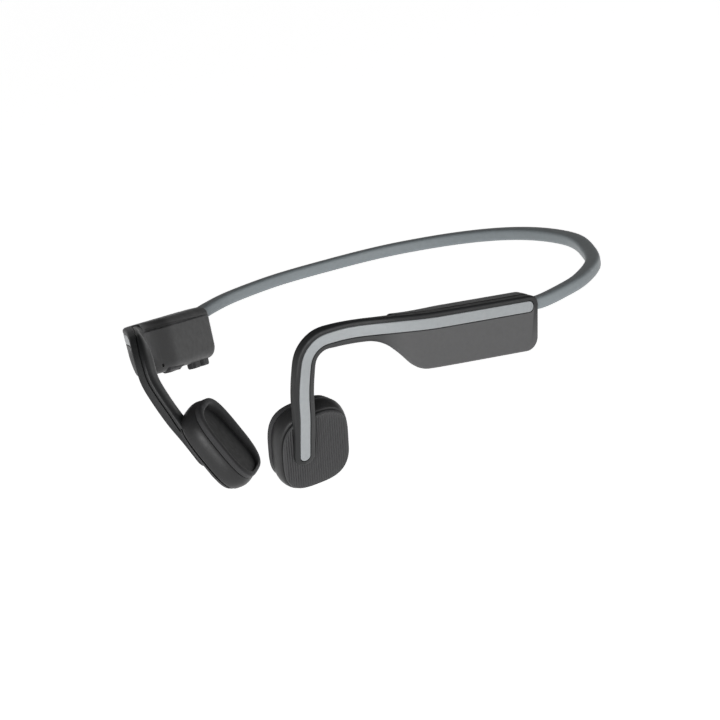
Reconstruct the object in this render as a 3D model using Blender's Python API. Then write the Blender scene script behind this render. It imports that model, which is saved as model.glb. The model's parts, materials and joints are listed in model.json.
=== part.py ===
"""Bone conduction headphones: a neckband, two pods, two ear hooks and two transducers.

Frame: metres, +X is the wearer's left, -Y the way the face looks, +Z up.
The origin is the centre of the whole object's box, on its mirror plane.
Every shape is drawn in millimetres for the left side and mirrored for the right one.
Pod and transducer each have a local frame: p outwards, q to the rear, r up.
"""
import bpy
import bmesh
from math import cos, pi, radians, sin, sqrt
from mathutils import Matrix, Vector

MM = 0.001
GAP = 0.3                               # clearance between neighbouring solids

# Driving dimensions, in millimetres and degrees
FRAME_ORIGIN = Vector((0.0, 5.19, -12.14))   # centre of the overall box in drawing space
POD_CORNER = Vector((62.0, 0.0, -0.9))       # top rear end of the pod's outer face
POD_TOE_IN = 18.0
POD_LEAN = 5.0
POD_PITCH = 7.4
TRANSDUCER_CENTRE = Vector((15.0, -46.4, -22.0))
TRANSDUCER_TOE_IN = 25.0
TRANSDUCER_LEAN = 26.9
TRANSDUCER_ROLL = 4.6

POD_TOP = 2.7
POD_BOTTOM = -11.6
POD_REAR = -0.8
POD_NOSE = -50.0
POD_FACE_SPLIT = -2.9                   # depth where the outer shell ends
INNER_FACE = POD_FACE_SPLIT - 4 * GAP   # depth where the inner shell starts, past the gasket
POD_DEPTH = -9.0
POD_WALL = 1.3
POD_BEND_START = -36.0
POD_BEND = 0.019
TAPER_START = -28.0                     # where the inner shell begins to thin
TAPER_LENGTH = 16.0

ARM_WIDTH = 5.6
ARM_THICKNESS = 4.3
FOOT_THICKNESS = 2.8
FOOT_RISE = 5.95                        # height of the foot's face over the transducer's centre
STRIPE_WIDTH = 2.8
STRIPE_THICKNESS = 0.8
CORE_DEPTH = -2.3                       # depth of the wire and cable below the arm's face
WIRE_OFFSET = 1.0
WIRE_RADIUS = 0.4
CABLE_RADIUS = 0.35

BAND_WIDTH = 4.0
BAND_HEIGHT = 3.3
BAND_DEPTH = -2.9
BAND_RISE = 0.06                        # upward slope of the band towards its back
BAND_CORE_OFFSET = 0.95

CUP_HALF_WIDTH = 9.9
CUP_HALF_HEIGHT = 11.8
CUP_FACE = 3.3
CUP_FLOOR = 2.4
CUP_BACK = -1.8
CUP_WALL = 1.1
PLATE_BACK = 3.7
PLATE_FACE = 4.7
PLATE_INSET = 0.9
PAD_BACK = -2.1
DRIVER_CENTRE = (1.6, -0.5)
DRIVER_RADIUS = 5.4

VOLUME_BUTTON_Q = {"up": -6.8, "down": -12.4}
VOLUME_BUTTON_P = -5.9
PORT_Q = -27.0
PORT_P = -6.25
FLAP_HALF_WIDTH = 1.5
FLAP_HALF_LENGTH = 4.3
FLAP_BACK = -10.35
FLAP_FACE = -11.35
FLAP_HINGE_Q = PORT_Q - FLAP_HALF_LENGTH + 0.5
FLAP_HINGE_R = (FLAP_BACK + FLAP_FACE) / 2

LEFT, RIGHT = 1, -1
SIDE_NAME = {LEFT: "left", RIGHT: "right"}


# Materials -------------------------------------------------------------------------------

def material(name, colour, roughness, metallic=0.0):
    mat = bpy.data.materials.new(name)
    mat.use_nodes = True
    shader = mat.node_tree.nodes["Principled BSDF"]
    shader.inputs["Base Color"].default_value = (*colour, 1.0)
    shader.inputs["Roughness"].default_value = roughness
    shader.inputs["Metallic"].default_value = metallic
    return mat


def make_materials():
    return {
        "black": material("black_plastic", (0.012, 0.012, 0.013), 0.35),
        "grey": material("pod_grey", (0.115, 0.115, 0.117), 0.5),
        "shell": material("shell_charcoal", (0.042, 0.042, 0.044), 0.5),
        "silicone": material("band_silicone", (0.155, 0.175, 0.185), 0.55),
        "stripe": material("stripe_grey", (0.34, 0.36, 0.37), 0.45),
        "titanium": material("titanium_wire", (0.50, 0.49, 0.47), 0.3, 1.0),
        "steel": material("magnetic_steel", (0.55, 0.55, 0.55), 0.35, 1.0),
        "copper": material("coil_copper", (0.72, 0.33, 0.15), 0.35, 1.0),
        "board": material("board_green", (0.02, 0.12, 0.05), 0.5),
        "pouch": material("battery_pouch", (0.45, 0.46, 0.48), 0.4, 0.6),
        "cable": material("cable_jacket", (0.25, 0.03, 0.03), 0.5),
        "lens": material("light_pipe", (0.75, 0.75, 0.72), 0.2),
        "pad": material("pad_silicone", (0.02, 0.02, 0.021), 0.6),
    }


# Local frames ----------------------------------------------------------------------------

def tilted_frame(origin, toe_in, lean, pitch=0.0, roll=0.0):
    turn = Matrix.Rotation(radians(-toe_in), 4, "Z") @ Matrix.Rotation(radians(lean), 4, "Y")
    turn = turn @ Matrix.Rotation(radians(-pitch), 4, "X") @ Matrix.Rotation(radians(roll), 4, "X")
    return Matrix.Translation(origin) @ turn


POD = tilted_frame(POD_CORNER, POD_TOE_IN, POD_LEAN, POD_PITCH)
CUP = tilted_frame(TRANSDUCER_CENTRE, TRANSDUCER_TOE_IN, TRANSDUCER_LEAN, 0.0, TRANSDUCER_ROLL)


def axis_of(frame, column):
    return frame.to_3x3().col[column].normalized()


def pod_bend(q):
    """Inward sweep of the pod's face towards the ear hook."""
    return -POD_BEND * max(0.0, POD_BEND_START - q) ** 2


# Outlines and paths ----------------------------------------------------------------------

def rounded_outline(corners, steps=6):
    """Corners are (x, y, radius); each becomes an arc tangent to its two sides."""
    points = []
    count = len(corners)
    for i, (x, y, radius) in enumerate(corners):
        here = Vector((x, y))
        to_last = (Vector(corners[i - 1][:2]) - here).normalized()
        to_next = (Vector(corners[(i + 1) % count][:2]) - here).normalized()
        half = to_last.angle(to_next) / 2
        if radius <= 0.0:
            points.append(here)
            continue
        centre = here + (to_last + to_next).normalized() * (radius / sin(half))
        start = here + to_last * (radius / (sin(half) / cos(half))) - centre
        end = here + to_next * (radius / (sin(half) / cos(half))) - centre
        sweep = start.angle_signed(end)
        for k in range(steps + 1):
            points.append(centre + Matrix.Rotation(-sweep * k / steps, 2) @ start)
    return points


def superellipse(half_x, half_y, power, count=48):
    points = []
    for i in range(count):
        angle = 2 * pi * i / count
        c, s = cos(angle), sin(angle)
        scale = (abs(c) ** power + abs(s) ** power) ** (-1.0 / power)
        points.append(Vector((half_x * scale * c, half_y * scale * s)))
    return points


def circle(radius, count=24):
    return superellipse(radius, radius, 2.0, count)


def inset(outline, distance):
    """Moves each side of a counter-clockwise or clockwise outline inwards."""
    count = len(outline)
    area = sum(outline[i - 1].cross(outline[i]) for i in range(count))
    turn = 1.0 if area > 0 else -1.0
    moved = []
    for i, point in enumerate(outline):
        before = (point - outline[i - 1]).normalized()
        after = (outline[(i + 1) % count] - point).normalized()
        normal = Vector((-before.y - after.y, before.x + after.x)).normalized() * turn
        stretch = max(0.5, Vector((-before.y, before.x)).dot(normal) * turn)
        moved.append(point + normal * (distance / stretch))
    return moved


def smooth_path(points, samples):
    """Catmull-Rom curve through the points, resampled to even steps."""
    dense = []
    padded = [points[0] * 2 - points[1]] + list(points) + [points[-1] * 2 - points[-2]]
    for a, b, c, d in zip(padded, padded[1:], padded[2:], padded[3:]):
        for k in range(16):
            t = k / 16
            dense.append(0.5 * (2 * b + (c - a) * t + (2 * a - 5 * b + 4 * c - d) * t * t
                                + (3 * b - a - 3 * c + d) * t ** 3))
    dense.append(points[-1].copy())
    return resample(dense, samples)


def resample(points, samples):
    lengths = [0.0]
    for a, b in zip(points, points[1:]):
        lengths.append(lengths[-1] + (b - a).length)
    even = []
    j = 0
    for i in range(samples):
        goal = lengths[-1] * i / (samples - 1)
        while j < len(points) - 2 and lengths[j + 1] < goal:
            j += 1
        span = max(lengths[j + 1] - lengths[j], 1e-9)
        even.append(points[j].lerp(points[j + 1], (goal - lengths[j]) / span))
    return even


def tangents(path):
    ends = [path[0]] + list(path) + [path[-1]]
    return [(after - before).normalized() for before, after in zip(ends, ends[2:])]


def hook_points():
    """Centre of the hook's outer face, from the pod's rear end to the tip of its foot."""
    line = [POD @ Vector((pod_bend(q), q, 0.0)) for q in (-2.6, -14.0, -26.0, -36.0, -43.0, -50.0)]
    arch = [Vector(v) for v in ((40.0, -48.6, 6.1), (35.5, -51.2, 6.2), (31.5, -53.4, 5.15),
                                (29.0, -55.6, 1.95), (27.4, -56.5, -3.15), (25.4, -56.0, -8.85))]
    foot = [CUP @ Vector((FOOT_RISE + rise, q, r))
            for rise, q, r in ((0.2, -2.9, 11.8), (0.0, -3.2, 5.3), (0.0, -3.7, -3.0))]
    return line + arch + foot


def hook_path(samples=72):
    return smooth_path(hook_points(), samples)


def hook_frames(path):
    """Outward and sideways directions along the hook."""
    pod_out, cup_out = axis_of(POD, 0), axis_of(CUP, 0)
    frames = []
    last = len(path) - 1
    for i, tangent in enumerate(tangents(path)):
        out = pod_out.lerp(cup_out, min(1.0, max(0.0, (i / last - 0.55) / 0.25)))
        out = (out - tangent * out.dot(tangent)).normalized()
        frames.append((out, tangent.cross(out).normalized()))
    return frames


def band_points():
    start = [POD @ Vector((BAND_DEPTH, q, 0.2)) for q in (-3.2, 1.5)]
    side = [Vector((x, y, BAND_RISE * y - 0.8))
            for x, y in ((61.0, 10.0), (60.6, 20.0), (55.2, 33.8), (44.8, 46.3), (34.6, 55.6),
                         (23.8, 61.6), (12.0, 65.6))]
    return start + side + [Vector((0.0, 67.0, BAND_RISE * 67.0 - 0.8))]


def band_path(samples=33):
    left = band_points()
    right = [Vector((-v.x, v.y, v.z)) for v in reversed(left[:-1])]
    return smooth_path(left + right, samples)


def band_frames(path):
    up = Vector((0.0, 0.0, 1.0))
    frames = []
    for tangent in tangents(path):
        out = tangent.cross(up).normalized()
        frames.append((out, out.cross(tangent).normalized()))
    return frames


# Mesh builders ---------------------------------------------------------------------------

def bridge_rings(bm, rings, closed_chain=False):
    loops = [[bm.verts.new(point) for point in ring] for ring in rings]
    pairs = list(zip(loops, loops[1:]))
    if closed_chain:
        pairs.append((loops[-1], loops[0]))
    else:
        bm.faces.new(loops[0])
        bm.faces.new(loops[-1])
    for a, b in pairs:
        count = len(a)
        for i in range(count):
            bm.faces.new((a[i - 1], a[i], b[i], b[i - 1]))
    bmesh.ops.recalc_face_normals(bm, faces=bm.faces)
    return bm


def sweep(path, frames, section):
    """section(i) gives the outline at station i as (outward, sideways) points."""
    rings = []
    for i, (point, (out, side)) in enumerate(zip(path, frames)):
        rings.append([point + out * s.x + side * s.y for s in section(i)])
    return bridge_rings(bmesh.new(), rings)


def stack(frame, outline, layers, bend=None):
    """Rings of a (q, r) outline at depths p; layers are (p, inset) pairs, ends are capped."""
    rings = []
    for depth, shrink in layers:
        ring = inset(outline, shrink) if shrink else outline
        rings.append([Vector((depth, v.x, v.y)) for v in ring])
    bm = bridge_rings(bmesh.new(), rings)
    if bend:
        bend_mesh(bm, bend)
    bm.transform(frame)
    return bm


def bend_mesh(bm, bend):
    """Cuts the mesh across its length, then moves each point in depth by bend(q)."""
    for k in range(6):
        where = POD_BEND_START + (POD_NOSE - POD_BEND_START) * k / 6
        bmesh.ops.bisect_plane(bm, geom=bm.verts[:] + bm.edges[:] + bm.faces[:], dist=1e-5,
                               plane_co=(0.0, where, 0.0), plane_no=(0.0, 1.0, 0.0))
    for vert in bm.verts:
        vert.co.x += bend(vert.co.y)


def ring_solid(frame, outline, width, low, high):
    inner = inset(outline, width)
    rings = []
    for ring, depth in ((outline, low), (outline, high), (inner, high), (inner, low)):
        rings.append([frame @ Vector((depth, v.x, v.y)) for v in ring])
    return bridge_rings(bmesh.new(), rings, closed_chain=True)


def block(frame, low, high, bevel=0.0):
    bm = bmesh.new()
    bmesh.ops.create_cube(bm, size=1.0)
    for vert in bm.verts:
        vert.co = Vector([low[k] if vert.co[k] < 0 else high[k] for k in range(3)])
    if bevel:
        bmesh.ops.bevel(bm, geom=bm.edges[:], offset=bevel, segments=2, profile=0.5,
                        affect="EDGES")
    bm.transform(frame)
    return bm


def rod(path, radius, count=10):
    """Round bar along a path, with frames carried from station to station."""
    directions = tangents(path)
    side = directions[0].orthogonal().normalized()
    rings = []
    for point, tangent in zip(path, directions):
        side = (side - tangent * side.dot(tangent)).normalized()
        other = tangent.cross(side)
        rings.append([point + side * v.x + other * v.y for v in circle(radius, count)])
    return bridge_rings(bmesh.new(), rings)


def disc(frame, centre_q, centre_r, radius, low, high, count=20):
    outline = [v + Vector((centre_q, centre_r)) for v in circle(radius, count)]
    return stack(frame, outline, [(low, 0.0), (high, 0.0)])


# Objects ---------------------------------------------------------------------------------

def link_object(name, bm, side, origin=None):
    """Turns a left-side mesh into an object, mirrored for the right side."""
    flip = Matrix.Scale(side, 4, Vector((1.0, 0.0, 0.0)))
    origin = flip @ ((origin or FRAME_ORIGIN) - FRAME_ORIGIN)
    bm.transform(Matrix.Scale(MM, 4) @ Matrix.Translation(-origin) @ flip
                 @ Matrix.Translation(-FRAME_ORIGIN))
    if side == RIGHT:
        bmesh.ops.reverse_faces(bm, faces=bm.faces)
    mesh = bpy.data.meshes.new(name)
    bm.to_mesh(mesh)
    bm.free()
    obj = bpy.data.objects.new(name, mesh)
    obj.location = origin * MM
    bpy.context.scene.collection.objects.link(obj)
    return obj


def add_part(name, bm, mat, side=LEFT, origin=None):
    obj = link_object(name, bm, side, origin)
    obj.data.materials.append(mat)
    obj.data.shade_smooth()
    obj.data.set_sharp_from_angle(angle=radians(32))
    return obj


def apply_cutter(obj, name, bm, side=LEFT, operation="DIFFERENCE"):
    cutter = link_object(name, bm, side)
    cutter.hide_render = True
    cutter.display_type = "WIRE"
    boolean = obj.modifiers.new(name, "BOOLEAN")
    boolean.operation = operation
    boolean.solver = "EXACT"
    boolean.object = cutter
    return cutter


# Ear hook --------------------------------------------------------------------------------

def smoothstep(t):
    t = min(1.0, max(0.0, t))
    return t * t * (3 - 2 * t)


def rounded_section(width_out, width_side, top, scale=1.0, count=12):
    """Softly squared outline whose outer face lies at height top."""
    outline = superellipse(width_out / 2, width_side / 2 * scale, 3.2, count)
    return [Vector((v.x + top - width_out / 2, v.y)) for v in outline]


def end_rounding(distance, radius):
    """Narrowing that ends a strip in a half circle."""
    if distance >= radius:
        return 1.0
    return sqrt(max(0.08, 1.0 - (1.0 - distance / radius) ** 2))


def hook_station(path, q):
    """First station of the hook that lies in front of a pod position."""
    limit = POD @ Vector((0.0, q, 0.0))
    rear = axis_of(POD, 1)
    return next(i for i, point in enumerate(path) if (point - limit).dot(rear) < 0)


def arm_mesh(extra=0.0):
    path = hook_path(48)
    first = hook_station(path, POD_NOSE + 5.0)
    frames = hook_frames(path)[first:]
    path = path[first:]
    tip = path[-1]
    inner = axis_of(CUP, 2)

    def section(i):
        rise = (path[i] - tip).dot(inner)
        thickness = FOOT_THICKNESS + (ARM_THICKNESS - FOOT_THICKNESS) * smoothstep((rise - 5) / 6)
        tip_distance = (path[i] - tip).length + 0.15
        narrow = end_rounding(tip_distance, ARM_WIDTH / 2)
        return rounded_section(thickness + 2 * extra, ARM_WIDTH + 2 * extra, extra, narrow)

    return trimmed(sweep(path, frames, section), POD @ Vector((0.0, POD_NOSE - GAP, 0.0)),
                   axis_of(POD, 1))


def trimmed(bm, point, direction):
    """Cuts off what lies past the plane and closes the cut."""
    bmesh.ops.bisect_plane(bm, geom=bm.verts[:] + bm.edges[:] + bm.faces[:], dist=1e-5,
                           plane_co=point, plane_no=direction, clear_outer=True)
    rim = [edge for edge in bm.edges if edge.is_boundary]
    bmesh.ops.holes_fill(bm, edges=rim, sides=0)
    bmesh.ops.recalc_face_normals(bm, faces=bm.faces)
    return bm


def groove_mesh(extra, top, samples=47):
    """Stripe strip along the whole hook; extra widens it into its groove."""
    path = hook_path(samples)
    frames = hook_frames(path)
    tip_cut = ARM_WIDTH / 2 - STRIPE_WIDTH / 2
    total = sum((b - a).length for a, b in zip(path, path[1:]))
    step = total / (samples - 1)
    last = samples - 1 - round(tip_cut / step)
    path, frames = path[:last], frames[:last]
    half = STRIPE_WIDTH / 2

    def section(i):
        along = min(i, last - 1 - i) * step + 0.12
        width = half * end_rounding(along, half) + extra
        low = -STRIPE_THICKNESS - extra
        return [Vector(v) for v in ((low, -width), (top, -width), (top, width), (low, width))]

    return sweep(path, frames, section)


def core_path(offset, start_q, enter_cup, samples):
    """Line inside the arm for its wire or cable; the cable turns into the cup at the end."""
    path = hook_path(96)
    frames = hook_frames(path)
    first = hook_station(path, start_q)
    last = 82
    line = [p + out * CORE_DEPTH + side * offset
            for p, (out, side) in zip(path[first:last], frames[first:last])]
    if enter_cup:
        line += [CUP @ Vector(v) for v in ((2.9, -2.5, 8.8), (1.7, -3.2, 8.0), (0.8, -4.0, 7.2),
                                       (0.3, -4.4, 6.4))]
    return resample(line, samples)


def build_hook(side, mats):
    name = SIDE_NAME[side]
    arm = add_part(f"{name}_ear_hook", arm_mesh(), mats["black"], side)
    apply_cutter(arm, f"cut_{name}_hook_groove", groove_mesh(GAP, 1.0), side)
    wire = core_path(WIRE_OFFSET, -44.0, False, 20)
    cable = core_path(-WIRE_OFFSET, -42.0, True, 24)
    apply_cutter(arm, f"cut_{name}_hook_wire", rod(wire, WIRE_RADIUS + GAP, 6), side)
    apply_cutter(arm, f"cut_{name}_hook_cable", rod(cable, CABLE_RADIUS + GAP, 6), side)
    short_wire = wire[:-1]
    add_part(f"{name}_hook_wire", rod(short_wire, WIRE_RADIUS, 6), mats["titanium"], side)
    short_cable = cable[:-1]
    add_part(f"{name}_driver_cable", rod(short_cable, CABLE_RADIUS, 6), mats["cable"], side)
    add_part(f"{name}_stripe", groove_mesh(0.0, 0.1), mats["stripe"], side)


# Pod -------------------------------------------------------------------------------------

def outer_pod_outline():
    return rounded_outline([
        (POD_REAR, POD_TOP, 2.4), (POD_NOSE, POD_TOP, 0.0), (POD_NOSE, -2.9, 0.0),
        (-47.0, -2.9, 10.0), (-37.0, POD_BOTTOM, 7.0), (POD_REAR - 0.6, POD_BOTTOM, 3.6)], 5)


def inner_taper(depth, q):
    """Depth of the inner shell after it thins towards the ear hook."""
    share = smoothstep((TAPER_START - q) / TAPER_LENGTH)
    return depth - min(0.0, depth - INNER_FACE) * 0.5 * share


def taper_mesh(bm):
    """Cuts a flat mesh across its length and thins its nose end."""
    bm.transform(POD.inverted())
    for k in range(6):
        bmesh.ops.bisect_plane(bm, geom=bm.verts[:] + bm.edges[:] + bm.faces[:], dist=1e-5,
                               plane_co=(0.0, TAPER_START - TAPER_LENGTH * k / 6, 0.0),
                               plane_no=(0.0, 1.0, 0.0))
    for vert in bm.verts:
        vert.co.x = inner_taper(vert.co.x, vert.co.y)
    thinned = [face for face in bm.faces if face.calc_center_median().y < TAPER_START]
    bmesh.ops.triangulate(bm, faces=thinned)
    bm.transform(POD)
    return bm


def inner_pod_outline():
    return rounded_outline([
        (POD_REAR, POD_TOP - 0.1, 2.4), (-42.0, POD_TOP - 0.1, 3.0), (-43.0, -4.0, 4.0),
        (-36.6, POD_BOTTOM + 0.2, 6.0), (POD_REAR - 0.6, POD_BOTTOM + 0.2, 3.6)], 5)


def cavity_outline():
    return rounded_outline([
        (POD_REAR - POD_WALL, POD_TOP - POD_WALL - 0.3, 1.0),
        (-37.5, POD_TOP - POD_WALL - 0.3, 1.5), (-39.5, -3.6, 1.5),
        (-35.4, POD_BOTTOM + POD_WALL + 0.1, 4.0),
        (POD_REAR - POD_WALL - 0.4, POD_BOTTOM + POD_WALL + 0.1, 2.2)], 3)


def band_cutter():
    path = band_path(121)[:7]
    frames = band_frames(band_path(121))[:7]
    path[0] = path[0] + (path[0] - path[1]).normalized()
    return sweep(path, frames,
                 lambda i: superellipse(BAND_WIDTH / 2 + GAP, BAND_HEIGHT / 2 + GAP, 4.0, 20))


def build_pod_shells(side, mats):
    name = SIDE_NAME[side]
    outer = add_part(
        f"{name}_pod_outer_shell",
        stack(POD, outer_pod_outline(), [(0.0, 0.9), (-0.35, 0.35), (-1.1, 0.0),
                                         (POD_FACE_SPLIT, 0.0)], pod_bend),
        mats["grey"], side)
    apply_cutter(outer, f"cut_{name}_outer_cavity",
                 stack(POD, cavity_outline(), [(-1.9, 0.0), (POD_FACE_SPLIT - 1.0, 0.0)]), side)
    apply_cutter(outer, f"cut_{name}_pod_groove", groove_mesh(GAP, 1.0), side)
    apply_cutter(outer, f"cut_{name}_nose_wire",
                 rod(core_path(WIRE_OFFSET, -34.0, False, 20), WIRE_RADIUS + GAP, 6), side)
    apply_cutter(outer, f"cut_{name}_nose_cable",
                 rod(core_path(-WIRE_OFFSET, -34.0, False, 20), CABLE_RADIUS + GAP, 6), side)
    apply_cutter(outer, f"cut_{name}_outer_band", band_cutter(), side)

    gasket = add_part(f"{name}_pod_gasket",
                      ring_solid(POD, inset(cavity_outline(), -0.9), 0.8,
                                 POD_FACE_SPLIT - 1.5 * GAP, POD_FACE_SPLIT - 3 * GAP),
                      mats["black"], side)
    apply_cutter(gasket, f"cut_{name}_gasket_band", band_cutter(), side)

    inner = add_part(
        f"{name}_pod_inner_shell",
        taper_mesh(stack(POD, inner_pod_outline(),
                         [(INNER_FACE, 0.0), (-6.6, 0.1), (-8.4, 0.8), (POD_DEPTH, 2.3)])),
        mats["shell"], side)
    apply_cutter(inner, f"cut_{name}_inner_cavity",
                 taper_mesh(stack(POD, inset(cavity_outline(), 0.05),
                                  [(POD_FACE_SPLIT, 0.0), (-7.4, 0.0), (-8.3, 0.8)])), side)
    apply_cutter(inner, f"cut_{name}_inner_band", band_cutter(), side)
    return inner


def build_battery(mats):
    add_part("battery_cell",
             block(POD, (-7.1, -31.5, -9.4), (-2.3, -6.3, -0.4), 0.8), mats["pouch"])
    add_part("battery_protection_board",
             block(POD, (-5.2, -36.6, -7.8), (-4.4, -32.2, -1.2)), mats["board"])


def tact_switch(frame, centre, size, stem_axis, stem):
    """Small boxed switch with its plunger as one solid."""
    low = [c - s / 2 for c, s in zip(centre, size)]
    high = [c + s / 2 for c, s in zip(centre, size)]
    bm = block(frame, low, high)
    direction = axis_of(frame, stem_axis) * (1 if stem > 0 else -1)
    face = max(bm.faces, key=lambda f: f.calc_center_median().dot(direction))
    bmesh.ops.inset_region(bm, faces=[face], thickness=0.45)
    for vert in face.verts:
        vert.co += direction * abs(stem)
    return bm


def build_electronics(inner, mats):
    """Main board with its parts, in the right pod."""
    board = add_part("main_board", block(POD, (-4.4, -34.5, -9.2), (-3.6, -5.8, -0.6)),
                     mats["board"], RIGHT)
    for label, q, boss_floor in (("front", -33.0, -7.8), ("rear", -16.8, -8.9)):
        centre_r = -2.2
        hole = disc(POD, q, centre_r, 0.75, -5.0, -3.0, 12)
        apply_cutter(board, f"cut_board_{label}", hole, RIGHT)
        outline = [v + Vector((q, centre_r)) for v in circle(1.6, 16)]
        apply_cutter(inner, f"boss_{label}", ring_solid(POD, outline, 0.85, boss_floor, -4.75),
                     RIGHT, "UNION")
        add_part(f"board_screw_{label}", screw_mesh(q, centre_r), mats["steel"], RIGHT)
    add_part("bluetooth_module", block(POD, (-3.3, -30.6, -8.6), (-2.3, -20.4, -1.0)),
             mats["steel"], RIGHT)
    add_part("usb_c_socket", usb_socket_mesh(), mats["steel"], RIGHT)
    add_part("microphone", block(POD, (-6.3, -37.0, -6.6), (-5.1, -34.9, -3.9)),
             mats["steel"], RIGHT)


def screw_mesh(q, r):
    centre = Vector((q, r))
    rings = []
    for depth, radius in ((-6.8, 0.42), (-3.3, 0.42), (-3.3, 1.1), (-2.7, 0.95)):
        rings.append([POD @ Vector((depth, v.x + centre.x, v.y + centre.y))
                      for v in circle(radius, 12)])
    return bridge_rings(bmesh.new(), rings)


def usb_socket_mesh():
    """Oblong tube, open downwards, with the contact tongue left as its floor."""
    outline = rounded_outline([(-1.5, -4.3, 1.45), (1.5, -4.3, 1.45), (1.5, 4.3, 1.45),
                               (-1.5, 4.3, 1.45)], 4)
    tongue = rounded_outline([(-0.35, -3.2, 0.2), (0.35, -3.2, 0.2), (0.35, 3.2, 0.2),
                              (-0.35, 3.2, 0.2)], 4)
    rings = []
    for ring, r in ((outline, -4.2), (outline, -10.0), (inset(outline, 0.35), -10.0),
                    (inset(outline, 0.35), -5.4), (tongue, -5.4), (tongue, -9.4)):
        rings.append([POD @ Vector((PORT_P + v.x, PORT_Q + v.y, r)) for v in ring])
    return bridge_rings(bmesh.new(), rings)


def cut_underside(inner):
    """Openings in the right pod's underside for the buttons, port, lamp and microphone."""
    for label, q in VOLUME_BUTTON_Q.items():
        apply_cutter(inner, f"cut_volume_{label}",
                     block(POD, (VOLUME_BUTTON_P - 1.6, q - 2.6, -14.0),
                           (VOLUME_BUTTON_P + 1.6, q + 2.6, -9.0)), RIGHT)
    apply_cutter(inner, "cut_port",
                 block(POD, (PORT_P - FLAP_HALF_WIDTH - GAP,
                             PORT_Q - FLAP_HALF_LENGTH - GAP, -14.0),
                       (PORT_P + FLAP_HALF_WIDTH + GAP,
                        PORT_Q + FLAP_HALF_LENGTH + GAP, -9.0)), RIGHT)
    lamp = [POD @ Vector((-6.3, -18.2, r)) for r in (-13.0, -9.0)]
    apply_cutter(inner, "cut_lamp", rod(lamp, 0.6 + GAP, 12), RIGHT)
    mic = [POD @ Vector((-5.8, q, r)) for q, r in ((-41.0, -10.0), (-36.4, -6.0))]
    apply_cutter(inner, "cut_mic", rod(mic, 0.55, 10), RIGHT)


def build_volume_buttons(mats):
    for label, q in VOLUME_BUTTON_Q.items():
        centre = POD @ Vector((VOLUME_BUTTON_P, q, POD_BOTTOM))
        outline = rounded_outline([(-1.3, -2.3, 1.0), (1.3, -2.3, 1.0), (1.3, 2.3, 1.0),
                                   (-1.3, 2.3, 1.0)], 3)
        rings = []
        for shrink, r in ((0.5, -13.1), (0.12, -12.8), (0.0, -12.3), (0.0, -9.9),
                          (-0.4, -9.9), (-0.4, -9.5)):
            rings.append([POD @ Vector((VOLUME_BUTTON_P + v.x, q + v.y, r))
                          for v in inset(outline, shrink)])
        add_part(f"volume_{label}_button", bridge_rings(bmesh.new(), rings), mats["black"],
                 RIGHT, centre)
        switch = tact_switch(POD, (VOLUME_BUTTON_P, q, -7.9), (2.6, 3.0, 1.4), 2, -0.3)
        add_part(f"volume_{label}_switch", switch, mats["steel"], RIGHT)


def build_port_cover(mats):
    """Flap that closes the charging port's opening, turning about its front edge."""
    hinge = POD @ Vector((PORT_P, FLAP_HINGE_Q, FLAP_HINGE_R))
    wide, long = FLAP_HALF_WIDTH, FLAP_HALF_LENGTH
    outline = rounded_outline([(-wide, -long, 0.5), (wide, -long, 0.5), (wide, long, 0.5),
                               (-wide, long, 0.5)], 4)
    rings = []
    for shrink, r in ((0.3, FLAP_FACE), (0.0, FLAP_FACE + 0.3), (0.0, FLAP_BACK - 0.3),
                      (0.3, FLAP_BACK)):
        rings.append([POD @ Vector((PORT_P + v.x, PORT_Q + v.y, r))
                      for v in inset(outline, shrink)])
    add_part("port_cover", bridge_rings(bmesh.new(), rings), mats["black"], RIGHT, hinge)


def build_lamp(mats):
    lamp = [POD @ Vector((-6.3, -18.2, r)) for r in (-11.5, -9.3)]
    add_part("led_light_pipe", rod(lamp, 0.6, 12), mats["lens"], RIGHT)


# Transducer ------------------------------------------------------------------------------

def cup_outline(shrink=0.0):
    outline = superellipse(CUP_HALF_WIDTH, CUP_HALF_HEIGHT, 3.0, 32)
    return inset(outline, shrink) if shrink else outline


def build_transducer(side, mats):
    name = SIDE_NAME[side]
    housing = add_part(
        f"{name}_driver_housing",
        stack(CUP, cup_outline(), [(CUP_FACE, 0.45), (CUP_FACE - 0.5, 0.0), (0.6, -0.5),
                                   (-0.6, -0.4), (CUP_BACK, 0.3), (CUP_BACK, 0.3 + CUP_WALL),
                                   (CUP_FLOOR, 0.3 + CUP_WALL)]),
        mats["shell"], side)
    apply_cutter(housing, f"cut_{name}_housing_foot", arm_mesh(GAP), side)
    apply_cutter(housing, f"cut_{name}_housing_cable",
                 rod(core_path(-WIRE_OFFSET, -42.0, True, 24), CABLE_RADIUS + GAP, 6), side)

    plate = "multifunction_button" if side == LEFT else "right_driver_cover"
    centre = CUP @ Vector((PLATE_BACK, 0.0, 0.0))
    cover = add_part(plate, stack(CUP, cup_outline(PLATE_INSET),
                           [(PLATE_BACK, 0.0), (PLATE_FACE - 0.5, 0.0), (PLATE_FACE - 0.1, 0.3),
                            (PLATE_FACE, 0.8)]),
                     mats["grey"], side, centre)
    apply_cutter(cover, f"cut_{name}_cover_foot", arm_mesh(GAP + 0.05), side)

    if side == LEFT:
        pocket = block(CUP, (1.0, 3.6, -7.1), (4.0, 6.8, -3.9))
        apply_cutter(housing, "cut_switch_pocket", pocket, LEFT)
        switch = tact_switch(CUP, (2.7, 5.2, -5.5), (0.7, 2.6, 2.6), 0, 0.15)
        add_part("multifunction_switch", switch, mats["steel"], LEFT)

    build_driver(name, side, mats)
    add_part(f"{name}_contact_pad",
             stack(CUP, cup_outline(0.4), [(PAD_BACK, 0.0), (-2.8, 0.4), (-3.5, 1.4), (-3.8, 2.4),
                                           (-3.6, 3.2), (-3.0, 4.6), (-2.7, 6.4)]),
             mats["pad"], side)


def driver_disc(radius, low, high):
    return disc(CUP, *DRIVER_CENTRE, radius, low, high)


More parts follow.
